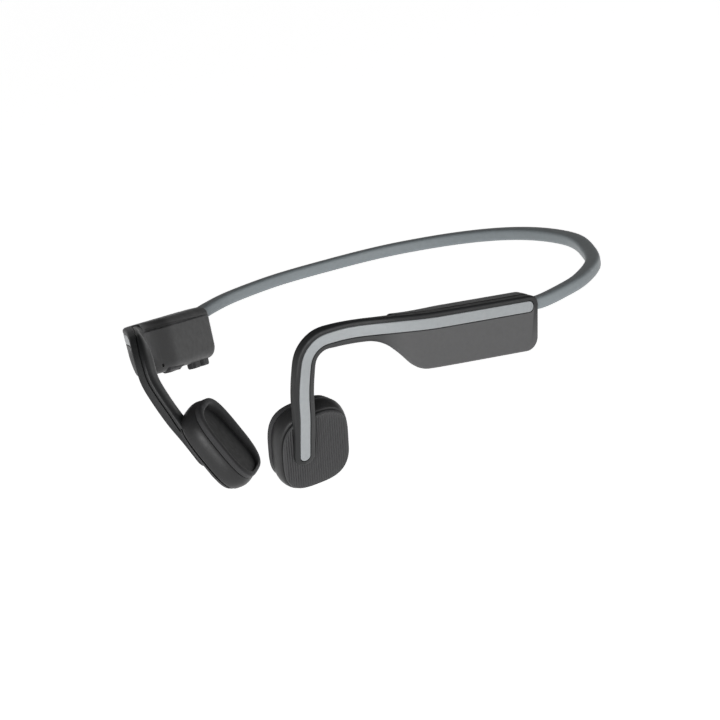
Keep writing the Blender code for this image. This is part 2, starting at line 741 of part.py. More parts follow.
def driver_outline(radius):
    return [v + Vector(DRIVER_CENTRE) for v in circle(radius, 20)]


def build_driver(name, side, mats):
    add_part(f"{name}_yoke",
             stack(CUP, driver_outline(DRIVER_RADIUS), [(2.0, 0.0), (-0.2, 0.0), (-0.2, 0.6),
                                                        (1.4, 0.6)]),
             mats["steel"], side)
    add_part(f"{name}_magnet", driver_disc(3.6, 1.1, 0.3), mats["steel"], side)
    add_part(f"{name}_top_plate", driver_disc(3.6, 0.0, -0.4), mats["steel"], side)
    add_part(f"{name}_voice_coil", ring_solid(CUP, driver_outline(4.5), 0.55, 1.0, -0.6),
             mats["copper"], side)
    spring = []
    for i in range(36):
        angle = 2 * pi * i / 36
        reach = 3.6 + 2.4 * max(0.0, cos(3 * angle)) ** 2
        spring.append(Vector(DRIVER_CENTRE) + Vector((cos(angle), sin(angle))) * reach)
    add_part(f"{name}_leaf_spring", stack(CUP, spring, [(-0.95, 0.0), (-1.2, 0.0)]), mats["steel"],
             side)


# Band ------------------------------------------------------------------------------------

def shifted(path, frames, offset):
    return [p + out * offset for p, (out, _) in zip(path, frames)]


def build_band(mats):
    path = band_path()
    frames = band_frames(path)
    sheath = add_part(
        "band_sheath",
        sweep(path, frames, lambda i: superellipse(BAND_WIDTH / 2, BAND_HEIGHT / 2, 4.0, 12)),
        mats["silicone"])
    long_path = band_path()
    long_path[0] = long_path[0] + (long_path[0] - long_path[1]).normalized() * 0.7
    long_path[-1] = long_path[-1] + (long_path[-1] - long_path[-2]).normalized() * 0.7
    wire_line = shifted(long_path, frames, -BAND_CORE_OFFSET)
    cable_line = shifted(long_path, frames, BAND_CORE_OFFSET)
    apply_cutter(sheath, "cut_band_wire", rod(wire_line, WIRE_RADIUS + GAP, 6))
    apply_cutter(sheath, "cut_band_cable", rod(cable_line, CABLE_RADIUS + GAP, 6))
    add_part("band_wire", rod(wire_line, WIRE_RADIUS, 6), mats["titanium"])
    add_part("band_cable", rod(cable_line, CABLE_RADIUS, 6), mats["cable"])


def clear_scene():
    for obj in list(bpy.data.objects):
        bpy.data.objects.remove(obj, do_unlink=True)


def main():
    clear_scene()
    mats = make_materials()
    build_band(mats)
    for side in (LEFT, RIGHT):
        build_hook(side, mats)
        inner = build_pod_shells(side, mats)
        build_transducer(side, mats)
        if side == RIGHT:
            build_electronics(inner, mats)
            cut_underside(inner)
    build_battery(mats)
    build_volume_buttons(mats)
    build_port_cover(mats)
    build_lamp(mats)


main()
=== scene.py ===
"""Looks for the bone conduction headphones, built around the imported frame.

Shapes are drawn in millimetres in the drawing space of the CAD, where DRAWING_ORIGIN is the
frame's origin, for the wearer's left side. They are then placed in the row frame in metres
and mirrored for the right. The hook's shells are first modelled flat, along the hook's centre
line, and then bent onto it.
"""
import json
from math import cos, pi, radians, sin, sqrt

import bmesh
import bpy
from mathutils import Matrix, Vector


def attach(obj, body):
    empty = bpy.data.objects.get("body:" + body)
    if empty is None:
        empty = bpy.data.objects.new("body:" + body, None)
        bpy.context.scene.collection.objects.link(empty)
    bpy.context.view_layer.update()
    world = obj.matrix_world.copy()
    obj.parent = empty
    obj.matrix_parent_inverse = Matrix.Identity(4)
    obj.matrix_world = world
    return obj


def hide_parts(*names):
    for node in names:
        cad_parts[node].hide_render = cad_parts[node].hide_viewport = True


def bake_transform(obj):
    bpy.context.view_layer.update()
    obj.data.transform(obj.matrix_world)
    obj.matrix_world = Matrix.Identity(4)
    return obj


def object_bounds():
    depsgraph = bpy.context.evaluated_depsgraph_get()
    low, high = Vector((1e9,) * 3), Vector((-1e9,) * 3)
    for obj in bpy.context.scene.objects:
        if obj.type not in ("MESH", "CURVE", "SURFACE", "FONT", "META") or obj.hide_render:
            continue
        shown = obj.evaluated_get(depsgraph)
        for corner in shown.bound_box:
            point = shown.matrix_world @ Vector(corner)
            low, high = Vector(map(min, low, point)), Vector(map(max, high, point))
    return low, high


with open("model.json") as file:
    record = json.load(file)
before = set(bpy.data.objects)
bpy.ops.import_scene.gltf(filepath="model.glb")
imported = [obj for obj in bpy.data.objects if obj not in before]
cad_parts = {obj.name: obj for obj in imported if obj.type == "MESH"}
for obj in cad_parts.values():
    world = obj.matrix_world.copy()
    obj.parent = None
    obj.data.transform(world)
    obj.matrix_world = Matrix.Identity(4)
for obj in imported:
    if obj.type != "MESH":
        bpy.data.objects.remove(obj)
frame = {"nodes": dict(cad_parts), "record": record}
cad_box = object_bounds()

MM = 0.001
DRAWING_ORIGIN = Vector((0.0, 5.19, -12.14))
LEFT, RIGHT = 1, -1
SIDE_NAME = {LEFT: "left", RIGHT: "right"}

# Driving dimensions in millimetres and degrees. They follow the frame's, with the nose, the
# hook and the transducers a little further in or lower, where the photograph shows them.
POD_CORNER = Vector((62.0, 0.0, -0.9))
POD_TOE_IN, POD_LEAN, POD_PITCH = 18.0, 5.0, 7.4
POD_TOP, POD_BOTTOM, POD_REAR = 2.75, -11.6, -0.8
POD_INNER_FACE = -9.0
POD_BEND_START, POD_BEND = -30.0, 0.015
NOSE_TAPER_START, NOSE_TAPER_LENGTH, NOSE_SHARE = -27.0, 17.0, 0.42
PATH_START_Q = -2.6

ARM_TOP, ARM_LOW = 2.75, -3.0
ARM_HALF = (ARM_TOP - ARM_LOW) / 2
SHELL_SPLIT, ARM_SPLIT, FOOT_SPLIT = 2.9, 2.2, 1.6
NOSE_DEPTH, ARM_DEPTH, FOOT_DEPTH = 5.4, 3.7, 2.8
FOOT_RISE = 5.8
SHELL_EDGE = 0.75
STRIPE_HALF = 1.4
STRIPE_GAP = 0.2
CORE_DEPTH = 2.3

TRANSDUCER_CENTRE = Vector((15.2, -45.9, -22.9))
CUP_TOE_IN, CUP_LEAN, CUP_PITCH = 25.0, 26.9, -4.6
CUP_HALF_WIDTH, CUP_HALF_HEIGHT = 10.0, 11.9
CUP_POWER = 3.0
PLATE_INSET = 0.6
PLATE_BACK, PLATE_FACE = 3.5, 4.1
PLATE_ROUNDING = 0.45
RIB_PITCH, RIB_HEIGHT = 0.66, 0.24
RING_POINTS = 96
PAD_BACK, PAD_CREST = -2.1, -3.83
PAD_CREST_SHIFT, PAD_FLOOR_SHIFT = Vector((-0.5, 0.0)), Vector((-1.2, -0.4))

BUTTON_Q = {"up": -6.8, "down": -12.4}
BUTTON_P, BUTTON_HALF_LENGTH, BUTTON_HALF_WIDTH, BUTTON_GAP = -5.9, 2.3, 1.3, 0.25
PORT_Q, PORT_P = -27.0, -6.25
FLAP_HALF_LENGTH, FLAP_HALF_WIDTH = 4.3, 1.5
LAMP_PLACE, LAMP_RADIUS = Vector((-18.2, -6.3)), 0.7
SOUND_HOLE_PLACE, SOUND_HOLE_RADIUS = Vector((-34.75, -9.5)), 0.5

BAND_WIDTH, BAND_HEIGHT, BAND_POWER = 4.0, 3.3, 4.0
BAND_DEPTH, BAND_RISE, BAND_DROP = -2.9, 0.06, 0.8
BAND_BACK = 67.0

CAMERA_AZIMUTH, CAMERA_ELEVATION, CAMERA_ROLL = 40.597, 11.444, 11.614
CAMERA_DISTANCE, CAMERA_RIGHT, CAMERA_UP = 1004.8, 1.360, -13.435
CAMERA_LENS = 188.56328


# Local frames ----------------------------------------------------------------------------

def tilted_frame(origin, toe_in, lean, pitch):
    """Local frame whose axes are p outwards, q towards the back and r upwards."""
    turn = Matrix.Rotation(radians(-toe_in), 4, "Z") @ Matrix.Rotation(radians(lean), 4, "Y")
    return Matrix.Translation(origin) @ turn @ Matrix.Rotation(radians(-pitch), 4, "X")


POD = tilted_frame(POD_CORNER, POD_TOE_IN, POD_LEAN, POD_PITCH)
CUP = tilted_frame(TRANSDUCER_CENTRE, CUP_TOE_IN, CUP_LEAN, CUP_PITCH)


def axis_of(matrix, column):
    return matrix.to_3x3().col[column].normalized()


def smoothstep(t):
    t = min(1.0, max(0.0, t))
    return t * t * (3 - 2 * t)


def mix(a, b, t):
    return a + (b - a) * t


# Outlines --------------------------------------------------------------------------------

def rounded_outline(corners, steps=10):
    """Corners are (x, y, radius); each becomes an arc tangent to its two sides."""
    points = []
    for i, (x, y, radius) in enumerate(corners):
        here = Vector((x, y))
        to_last = (Vector(corners[i - 1][:2]) - here).normalized()
        to_next = (Vector(corners[(i + 1) % len(corners)][:2]) - here).normalized()
        half = to_last.angle(to_next) / 2
        if radius <= 0.0:
            points.append(here)
            continue
        centre = here + (to_last + to_next).normalized() * (radius / sin(half))
        start = here + to_last * (radius * cos(half) / sin(half)) - centre
        end = here + to_next * (radius * cos(half) / sin(half)) - centre
        sweep = start.angle_signed(end)
        for k in range(steps + 1):
            point = centre + Matrix.Rotation(-sweep * k / steps, 2) @ start
            if not points or (point - points[-1]).length > 0.05:
                points.append(point)
    return points


def rounded_box(centre_x, centre_y, half_x, half_y, radius, steps):
    left, right = centre_x - half_x, centre_x + half_x
    low, high = centre_y - half_y, centre_y + half_y
    return rounded_outline([(left, low, radius), (right, low, radius), (right, high, radius),
                            (left, high, radius)], steps)


def superellipse(half_x, half_y, power, count):
    points = []
    for i in range(count):
        angle = 2 * pi * i / count
        c, s = cos(angle), sin(angle)
        scale = (abs(c) ** power + abs(s) ** power) ** (-1.0 / power)
        points.append(Vector((half_x * scale * c, half_y * scale * s)))
    return points


def circle(radius, count):
    return superellipse(radius, radius, 2.0, count)


def inset(outline, distance):
    """Moves each side of an outline inwards by distance."""
    count = len(outline)
    area = sum(outline[i - 1].cross(outline[i]) for i in range(count))
    turn = 1.0 if area > 0 else -1.0
    moved = []
    for i, point in enumerate(outline):
        before = (point - outline[i - 1]).normalized()
        after = (outline[(i + 1) % count] - point).normalized()
        normal = Vector((-before.y - after.y, before.x + after.x)).normalized() * turn
        stretch = max(0.5, Vector((-before.y, before.x)).dot(normal) * turn)
        moved.append(point + normal * (distance / stretch))
    return moved


def fillet(radius, steps):
    """Layers (height, inset) of a rounded edge from a flat face at height 0 to a side wall."""
    layers = []
    for k in range(steps + 1):
        a = pi / 2 * (1 - k / steps)
        layers.append((-radius * (1 - sin(a)), radius * (1 - cos(a))))
    return layers


# Paths -----------------------------------------------------------------------------------

def resample(points, samples):
    lengths = [0.0]
    for a, b in zip(points, points[1:]):
        lengths.append(lengths[-1] + (b - a).length)
    even, j = [], 0
    for i in range(samples):
        goal = lengths[-1] * i / (samples - 1)
        while j < len(points) - 2 and lengths[j + 1] < goal:
            j += 1
        span = max(lengths[j + 1] - lengths[j], 1e-9)
        even.append(points[j].lerp(points[j + 1], (goal - lengths[j]) / span))
    return even, lengths[-1]


def smooth_path(points, samples):
    """Catmull-Rom curve in even steps through or near the points, with its length."""
    dense = []
    padded = [points[0] * 2 - points[1]] + list(points) + [points[-1] * 2 - points[-2]]
    for a, b, c, d in zip(padded, padded[1:], padded[2:], padded[3:]):
        for k in range(40):
            t = k / 40
            dense.append(0.5 * (2 * b + (c - a) * t + (2 * a - 5 * b + 4 * c - d) * t * t
                                + (3 * b - a - 3 * c + d) * t ** 3))
    dense.append(points[-1].copy())
    return resample(dense, samples)


def tangents(path):
    ends = [path[0]] + list(path) + [path[-1]]
    return [(after - before).normalized() for before, after in zip(ends, ends[2:])]


def pod_bend(q):
    """How far the pod's nose has swept inwards at q."""
    return -POD_BEND * max(0.0, POD_BEND_START - q) ** 2


def hook_points():
    """Centre of the hook's outer face, from the pod's rear end to the tip of its foot."""
    line = [POD @ Vector((pod_bend(q), q, 0.0))
            for q in (PATH_START_Q, -14.0, -26.0, -35.0, -43.5)]
    arch = [Vector(v) for v in ((39.6, -46.5, 5.85), (35.1, -50.4, 5.75), (31.6, -53.1, 4.8),
                                (29.1, -55.3, 1.8), (27.55, -56.3, -3.3), (25.45, -55.8, -8.85))]
    foot = [CUP @ Vector((FOOT_RISE + rise, q, r))
            for rise, q, r in ((0.2, -3.4, 12.8), (0.0, -3.7, 6.3), (0.0, -4.2, -2.0))]
    return line + arch + foot


def relax(vectors, rounds):
    """Evens out a list of directions along a path, ends kept."""
    for _ in range(rounds):
        vectors = [vectors[0]] + [(a + b * 2 + c).normalized() for a, b, c
                                  in zip(vectors, vectors[1:], vectors[2:])] + [vectors[-1]]
    return vectors


class HookLine:
    """Places flat coordinates (s along the hook, v across it, h outwards) on the real hook."""

    def __init__(self, samples=400):
        self.points, self.length = smooth_path(hook_points(), samples)
        self.step = self.length / (samples - 1)
        pod_out, cup_out = axis_of(POD, 0), axis_of(CUP, 0)
        self.along = relax(tangents(self.points), 40)
        self.frames = []
        for i, tangent in enumerate(self.along):
            out = pod_out.lerp(cup_out, min(1.0, max(0.0, (i / (samples - 1) - 0.55) / 0.25)))
            out = (out - tangent * out.dot(tangent)).normalized()
            self.frames.append((out, tangent.cross(out).normalized()))

    def place(self, s, v, h):
        where = s / self.step
        i = int(min(max(where, 0), len(self.points) - 2))
        t = min(max(where - i, 0.0), 1.0)
        point = self.points[i].lerp(self.points[i + 1], t)
        out = self.frames[i][0].lerp(self.frames[i + 1][0], t)
        side = self.frames[i][1].lerp(self.frames[i + 1][1], t)
        beyond = s - min(max(s, 0.0), self.length)
        return point + self.along[i] * beyond + out * h + side * v


HOOK = HookLine()
TIP = HOOK.length + 0.15


def pod_s(q):
    """Position along the hook of a pod position."""
    return PATH_START_Q - q


def band_points():
    """Left half of the band's centre line, from inside the pod to the mirror plane."""
    start = [POD @ Vector((BAND_DEPTH, q, 0.2)) for q in (-3.2, 1.5)]
    side = [Vector((x, y, BAND_RISE * y - BAND_DROP))
            for x, y in ((61.0, 10.0), (60.6, 20.0), (55.2, 33.8), (44.8, 46.3), (34.6, 55.6),
                         (23.8, 61.6), (12.0, 65.6))]
    return start + side + [Vector((0.0, BAND_BACK, BAND_RISE * BAND_BACK - BAND_DROP))]


def band_path(samples):
    left = band_points()
    right = [Vector((-v.x, v.y, v.z)) for v in reversed(left[:-1])]
    return smooth_path(left + right, samples)[0]


def band_frames(path):
    up = Vector((0.0, 0.0, 1.0))
    frames = []
    for tangent in relax(tangents(path), 12):
        out = tangent.cross(up).normalized()
        frames.append((out, out.cross(tangent).normalized()))
    return frames


# Mesh builders ---------------------------------------------------------------------------

def bridge_rings(rings):
    """Closed solid through a row of rings with the same number of points."""
    bm = bmesh.new()
    loops = [[bm.verts.new(point) for point in ring] for ring in rings]
    bm.faces.new(loops[0])
    bm.faces.new(loops[-1])
    for a, b in zip(loops, loops[1:]):
        for i in range(len(a)):
            bm.faces.new((a[i - 1], a[i], b[i], b[i - 1]))
    bmesh.ops.recalc_face_normals(bm, faces=bm.faces)
    return bm


def flat_solid(outline, layers):
    """Closed solid in flat coordinates: rings of the outline at (height, inset) layers."""
    rings = []
    for height, shrink in layers:
        ring = inset(outline, shrink) if abs(shrink) > 1e-6 else outline
        rings.append([Vector((v.x, v.y, height)) for v in ring])
    return bridge_rings(rings)


def slice_mesh(bm, stations):
    """Cuts the faces across the first coordinate at each station, so that they can bend."""
    normal = Vector((1.0, 0.0, 0.0))
    for where in stations:
        bmesh.ops.bisect_plane(bm, geom=bm.verts[:] + bm.edges[:] + bm.faces[:], dist=1e-4,
                               plane_co=normal * where, plane_no=normal)


def steps_between(low, high, step):
    count = max(1, round((high - low) / step))
    return [low + (high - low) * k / count for k in range(count + 1)]


def temporary(bm):
    mesh = bpy.data.meshes.new("temporary")
    bm.to_mesh(mesh)
    bm.free()
    obj = bpy.data.objects.new("temporary", mesh)
    bpy.context.scene.collection.objects.link(obj)
    return obj


def cut_away(bm, others):
    """Subtracts the other meshes from a mesh and returns the result as a new one."""
    base = temporary(bm)
    cutters = [temporary(other) for other in others]
    for cutter in cutters:
        boolean = base.modifiers.new("cut", "BOOLEAN")
        boolean.operation = "DIFFERENCE"
        boolean.solver = "EXACT"
        boolean.object = cutter
    result = bmesh.new()
    bpy.context.view_layer.update()
    result.from_object(base, bpy.context.evaluated_depsgraph_get())
    for obj in [base] + cutters:
        bpy.data.objects.remove(obj, do_unlink=True)
    bmesh.ops.remove_doubles(result, verts=result.verts, dist=0.002)
    bmesh.ops.dissolve_degenerate(result, edges=result.edges, dist=0.001)
    return result


def bend_along_hook(bm, warp=None):
    """Flat coordinates (s, v, h) to drawing space, bent along the hook."""
    for vert in bm.verts:
        s, v, h = vert.co
        if warp:
            s, v, h = warp(s, v, h)
        vert.co = HOOK.place(s, v, h)
    return bm


def to_frame(bm, matrix, warp=None):
    """Flat coordinates (q, r, p) to drawing space; p is the local outward axis."""
    for vert in bm.verts:
        q, r, p = warp(*vert.co) if warp else vert.co
        vert.co = matrix @ Vector((p, q, r))
    return bm


def sweep(path, frames, section):
    """Solid that carries one outline along a path."""
    return bridge_rings([[point + out * v.x + side * v.y for v in section]
                         for point, (out, side) in zip(path, frames)])


def add_piece(name, bm, side, mat, body, nodes, sharp=38.0):
    """Drawing space to row frame, mirrored for the right side; the piece rides a body."""
    flip = Matrix.Scale(side, 4, Vector((1.0, 0.0, 0.0)))
    bm.transform(Matrix.Scale(MM, 4) @ flip @ Matrix.Translation(-DRAWING_ORIGIN))
    if side == RIGHT:
        bmesh.ops.reverse_faces(bm, faces=bm.faces)
    mesh = bpy.data.meshes.new(name)
    bm.to_mesh(mesh)
    bm.free()
    obj = bpy.data.objects.new(name, mesh)
    bpy.context.scene.collection.objects.link(obj)
    mesh.materials.append(MATS[mat])
    mesh.shade_smooth()
    mesh.set_sharp_from_angle(angle=radians(sharp))
    weighted = obj.modifiers.new("weighted", "WEIGHTED_NORMAL")
    weighted.keep_sharp = True
    weighted.weight = 80
    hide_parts(*nodes)
    if body:
        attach(obj, body)
    return obj


# Materials -------------------------------------------------------------------------------

class Graph:
    """A material's shader nodes, added and linked."""

    def __init__(self, name):
        self.material = bpy.data.materials.new(name)
        self.material.use_nodes = True
        self.tree = self.material.node_tree
        self.shader = self.tree.nodes["Principled BSDF"]
        self.where = self.add("ShaderNodeTexCoord").outputs["Object"]

    def add(self, kind, **values):
        node = self.tree.nodes.new(kind)
        for key, value in values.items():
            setattr(node, key, value)
        return node

    def link(self, source, target):
        self.tree.links.new(source, target)

    def noise(self, scale, detail=3.0, stretch=None):
        node = self.add("ShaderNodeTexNoise")
        node.inputs["Scale"].default_value = scale
        node.inputs["Detail"].default_value = detail
        source = self.where
        if stretch:
            mapping = self.add("ShaderNodeMapping")
            mapping.inputs["Scale"].default_value = stretch
            self.link(source, mapping.inputs["Vector"])
            source = mapping.outputs["Vector"]
        self.link(source, node.inputs["Vector"])
        return node.outputs["Fac"]

    def ramp(self, source, low, high):
        """Spreads a source's middle range, 0.3 to 0.7, over low to high."""
        node = self.add("ShaderNodeMapRange")
        node.inputs["From Min"].default_value = 0.3
        node.inputs["From Max"].default_value = 0.7
        node.inputs["To Min"].default_value = low
        node.inputs["To Max"].default_value = high
        self.link(source, node.inputs["Value"])
        return node.outputs["Result"]

    def blend(self, factor, first, second):
        node = self.add("ShaderNodeMix", data_type="RGBA")
        self.link(factor, node.inputs["Factor"])
        for socket, value in ((node.inputs["A"], first), (node.inputs["B"], second)):
            if isinstance(value, tuple):
                socket.default_value = (*value, 1.0)
            else:
                self.link(value, socket)
        return node.outputs["Result"]

    def edges(self):
        """Worn edges: 1 on sharp convex edges, 0 elsewhere."""
        node = self.add("ShaderNodeMapRange")
        node.inputs["From Min"].default_value = 0.53
        node.inputs["From Max"].default_value = 0.62
        self.link(self.add("ShaderNodeNewGeometry").outputs["Pointiness"], node.inputs["Value"])
        return node.outputs["Result"]

    def bump(self, height, strength, distance, before=None):
        node = self.add("ShaderNodeBump")
        node.inputs["Strength"].default_value = strength
        node.inputs["Distance"].default_value = distance
        self.link(height, node.inputs["Height"])
        if before:
            self.link(before, node.inputs["Normal"])
        return node.outputs["Normal"]


def shaded(colour, factor):
    return tuple(min(1.0, c * factor) for c in colour)


def moulded(name, colour, roughness, grain=9000.0, strength=0.35, wear=1.5, specular=0.3,
            sheen=0.0, shade_colour=None):
    """Moulded plastic or silicone with fine grain, faint mottling and paler edges.

    A darker colour, painted shade, takes over where the mesh's shade attribute is 1.
    """
    g = Graph(name)
    mottled = g.blend(g.ramp(g.noise(900.0, 4.0), 0.0, 1.0), shaded(colour, 0.965),
                      shaded(colour, 1.035))
    wear_and_shade = g.blend(g.edges(), mottled, shaded(colour, wear))
    # Painted shade: a darker colour, with its own paler worn edges, blended in by the mesh's shade
    # attribute.
    if shade_colour:
        share = g.add("ShaderNodeAttribute", attribute_name="painted_shade").outputs["Fac"]
        wear_and_shade = g.blend(share, wear_and_shade, g.blend(g.edges(), shade_colour, shaded(shade_colour, 2.0)))
    g.link(wear_and_shade, g.shader.inputs["Base Color"])
    g.link(g.ramp(g.noise(700.0, 5.0), roughness - 0.04, roughness + 0.05),
           g.shader.inputs["Roughness"])
    fine = g.bump(g.noise(grain, 2.0), strength, 0.000012)
    g.link(g.bump(g.noise(420.0, 2.0), 0.12, 0.00003, fine), g.shader.inputs["Normal"])
    g.shader.inputs["Specular IOR Level"].default_value = specular
    g.shader.inputs["Sheen Weight"].default_value = sheen
    return g.material


def metal(name, colour, roughness, stretch=(1.0, 1.0, 1.0)):
    g = Graph(name)
    g.shader.inputs["Metallic"].default_value = 1.0
    streaks = g.noise(2500.0, 4.0, stretch)
    g.link(g.blend(g.ramp(streaks, 0.0, 1.0), shaded(colour, 0.8), shaded(colour, 1.1)),
           g.shader.inputs["Base Color"])
    g.link(g.ramp(streaks, roughness - 0.08, roughness + 0.12), g.shader.inputs["Roughness"])
    g.link(g.bump(streaks, 0.3, 0.00001), g.shader.inputs["Normal"])
    return g.material


def banded(name, dark, light, scale, metallic, roughness):
    """Fine parallel bands, for windings and board traces."""
    g = Graph(name)
    wave = g.add("ShaderNodeTexWave")
    wave.inputs["Scale"].default_value = scale
    wave.inputs["Distortion"].default_value = 1.5
    g.link(g.where, wave.inputs["Vector"])
    g.link(g.blend(wave.outputs["Fac"], dark, light), g.shader.inputs["Base Color"])
    g.shader.inputs["Metallic"].default_value = metallic
    g.link(g.ramp(wave.outputs["Fac"], roughness, roughness + 0.15), g.shader.inputs["Roughness"])
    g.link(g.bump(wave.outputs["Fac"], 0.4, 0.00002), g.shader.inputs["Normal"])
    return g.material


MATS = {
    # pod_grey's darker colour is painted shade, above the stripe and on the arm.
    "pod_grey": moulded("pod_grey", (0.068, 0.068, 0.069), 0.5, shade_colour=(0.014, 0.0145, 0.015)),
    "hook_black": moulded("hook_black", (0.011, 0.0115, 0.012), 0.42, wear=1.8),
    "shell_charcoal": moulded("shell_charcoal", (0.018, 0.018, 0.0185), 0.42, wear=1.6),
    "ribbed_cover": moulded("ribbed_cover", (0.036, 0.036, 0.037), 0.45, wear=1.4),
    # pad_silicone's darker colour is painted shade in the pad's dish.
    "pad_silicone": moulded("pad_silicone", (0.030, 0.030, 0.031), 0.48, grain=12000.0, wear=1.5,
                            specular=0.15, shade_colour=(0.006, 0.006, 0.0063)),
    "band_silicone": moulded("band_silicone", (0.180, 0.202, 0.212), 0.5, grain=12000.0,
                             wear=1.15, sheen=0.05),
    "stripe_grey": moulded("stripe_grey", (0.255, 0.268, 0.275), 0.4, wear=1.1),
    "black_silicone": moulded("black_silicone", (0.010, 0.010, 0.011), 0.5, wear=2.0),
    "light_pipe": moulded("light_pipe", (0.70, 0.70, 0.66), 0.2, strength=0.1, wear=1.0),
    "cable_jacket": moulded("cable_jacket", (0.25, 0.03, 0.03), 0.5, wear=1.2),
    "titanium_wire": metal("titanium_wire", (0.50, 0.49, 0.47), 0.3, (1.0, 0.1, 1.0)),
    "plated_steel": metal("plated_steel", (0.58, 0.58, 0.57), 0.32),
    "battery_pouch": metal("battery_pouch", (0.45, 0.46, 0.48), 0.42, (0.3, 1.0, 1.0)),
    "coil_copper": banded("coil_copper", (0.45, 0.17, 0.06), (0.80, 0.38, 0.18), 2600.0, 1.0, 0.3),
    "circuit_board": banded("circuit_board", (0.012, 0.075, 0.03), (0.03, 0.16, 0.07), 700.0,
                            0.0, 0.4),
}


# Hook, outer shell and stripe ------------------------------------------------------------

def along_hook(s, nose, arm, foot, nose_end, arm_start, foot_start, foot_full):
    """Value that goes smoothly from the nose's to the arm's and then to the foot's."""
    value = mix(nose, arm, smoothstep((s - nose_end) / (arm_start - nose_end)))
    return mix(value, foot, smoothstep((s - foot_start) / (foot_full - foot_start)))


def split_depth(s):
    """Depth of the parting line between the outer shell and the inner moulding."""
    return along_hook(s, SHELL_SPLIT, ARM_SPLIT, FOOT_SPLIT, 36.0, 52.0, TIP - 18.0, TIP - 9.0)


def arm_depth(s):
    """Full thickness of the arm."""
    return along_hook(s, NOSE_DEPTH, ARM_DEPTH, FOOT_DEPTH, 40.0, 50.0, TIP - 15.0, TIP - 7.0)


def outer_outline():
    return rounded_outline([
        (pod_s(POD_REAR), POD_TOP, 2.4), (TIP, ARM_TOP, ARM_HALF - 0.01),
        (TIP, ARM_LOW, ARM_HALF - 0.01), (pod_s(-47.9), ARM_LOW, 10.0),
        (pod_s(-37.8), POD_BOTTOM, 7.5), (pod_s(POD_REAR - 0.6), POD_BOTTOM, 3.6)], 14)


def stripe_outline(extra=0.0):
    half = STRIPE_HALF + extra
    end = TIP - (ARM_HALF - STRIPE_HALF) - 0.15 + extra
    return rounded_outline([(-extra, half, half - 0.01), (end, half, half - 0.01),
                            (end, -half, half - 0.01), (-extra, -half, half - 0.01)], 12)


def hook_stations(low, high):
    """Stations from low to high, far apart where the hook is straight."""
    straight = 30.0
    return steps_between(low, straight, 4.0) + steps_between(straight + 0.6, high, 0.6)


def paint_shell_shade(solid):
    """Painted shade mask: 1 above the stripe, where the shell faces upwards away from the light,
    and up to 0.72 on the arm, which turns away from the light; 0 on the pod's face.
    """
    painted_shade = solid.verts.layers.float.new("painted_shade")
    for vert in solid.verts:
        on_arm = smoothstep((vert.co.x - 38.0) / 9.0)
        vert[painted_shade] = 1.0 if vert.co.y > 0.0 else mix(0.0, 0.72, on_arm)


def build_outer_shell(side):
    """One-piece outer half of the pod, the arm and the foot, with the stripe's groove."""
    name = SIDE_NAME[side]
    layers = [(0.0, SHELL_EDGE + 0.35)] + fillet(SHELL_EDGE, 6)
    layers += [(-SHELL_SPLIT + 0.18, 0.0), (-SHELL_SPLIT, 0.18)]
    groove = flat_solid(stripe_outline(STRIPE_GAP), [(1.0, 0.0), (-0.8, 0.0)])
    solid = cut_away(flat_solid(outer_outline(), layers), [groove])
    slice_mesh(solid, hook_stations(-1.5, TIP - 0.2))
    # Painted shade above the stripe and on the arm.
    paint_shell_shade(solid)

    def warp(s, v, h):
        if h < -SHELL_EDGE:
            share = (split_depth(s) - SHELL_EDGE) / (SHELL_SPLIT - SHELL_EDGE)
            h = -SHELL_EDGE + (h + SHELL_EDGE) * share
        return s, v, h

    add_piece(f"{name}_outer_shell", bend_along_hook(solid, warp), side, "pod_grey",
              f"{name}_side", [f"{name}_pod_outer_shell"])


def build_stripe(side):
    """Light inlay in the groove, just proud of the shell."""
    name = SIDE_NAME[side]
    layers = [(0.03, 0.75), (0.02, 0.45)] + fillet(0.18, 3) + [(-0.75, 0.0)]
    solid = flat_solid(stripe_outline(), layers)
    slice_mesh(solid, hook_stations(0.3, TIP - 2.0))
    add_piece(f"{name}_stripe_inlay", bend_along_hook(solid), side, "stripe_grey",
              f"{name}_side", [f"{name}_stripe"])


def build_overmould(side):
    """Soft inner half of the arm, behind the outer shell's parting line."""
    name = SIDE_NAME[side]
    start, end = pod_s(-42.0), TIP - 0.2
    top, low, radius = ARM_TOP - 0.2, ARM_LOW + 0.2, 2.55
    outline = rounded_outline([(start, top, 0.3), (end, top, radius), (end, low, radius),
                               (start, low, 0.3)], 12)
    layers = [(0.0, 0.3), (-0.06, 0.0), (-0.35, 0.0)]
    layers += [(-0.35 - 0.65 * sin(pi / 2 * k / 8), 1.9 * (1 - cos(pi / 2 * k / 8)))
               for k in range(1, 9)]
    layers.append((-1.0, 2.15))
    solid = flat_solid(outline, layers)
    slice_mesh(solid, steps_between(start + 0.4, TIP - 0.4, 0.6))

    def warp(s, v, h):
        return s, v, -mix(split_depth(s) + 0.1, arm_depth(s), -h)

    add_piece(f"{name}_hook_overmould", bend_along_hook(solid, warp), side, "hook_black",
              f"{name}_side", [f"{name}_ear_hook"])


def build_cores(side):
    """Springy wire and driver cable inside the arm."""
    name = SIDE_NAME[side]
    into_cup = [CUP @ Vector(v) for v in ((2.0, -3.4, 8.2), (0.8, -4.0, 7.2), (0.3, -4.4, 6.4))]
    for label, v, radius, end, mat, turn_in in (
            ("hook_wire", 1.0, 0.4, TIP - 12.0, "titanium_wire", []),
            ("driver_cable", -1.0, 0.35, TIP - 13.0, "cable_jacket", into_cup)):
        line = [HOOK.place(s, v, -CORE_DEPTH) for s in steps_between(pod_s(-43.5), end, 0.6)]
        line = smooth_path(line + turn_in, 90)[0]
        rod = sweep(line, cross_frames(line), circle(radius, 12))
        add_piece(f"{name}_{label}_core", rod, side, mat, f"{name}_side", [f"{name}_{label}"])


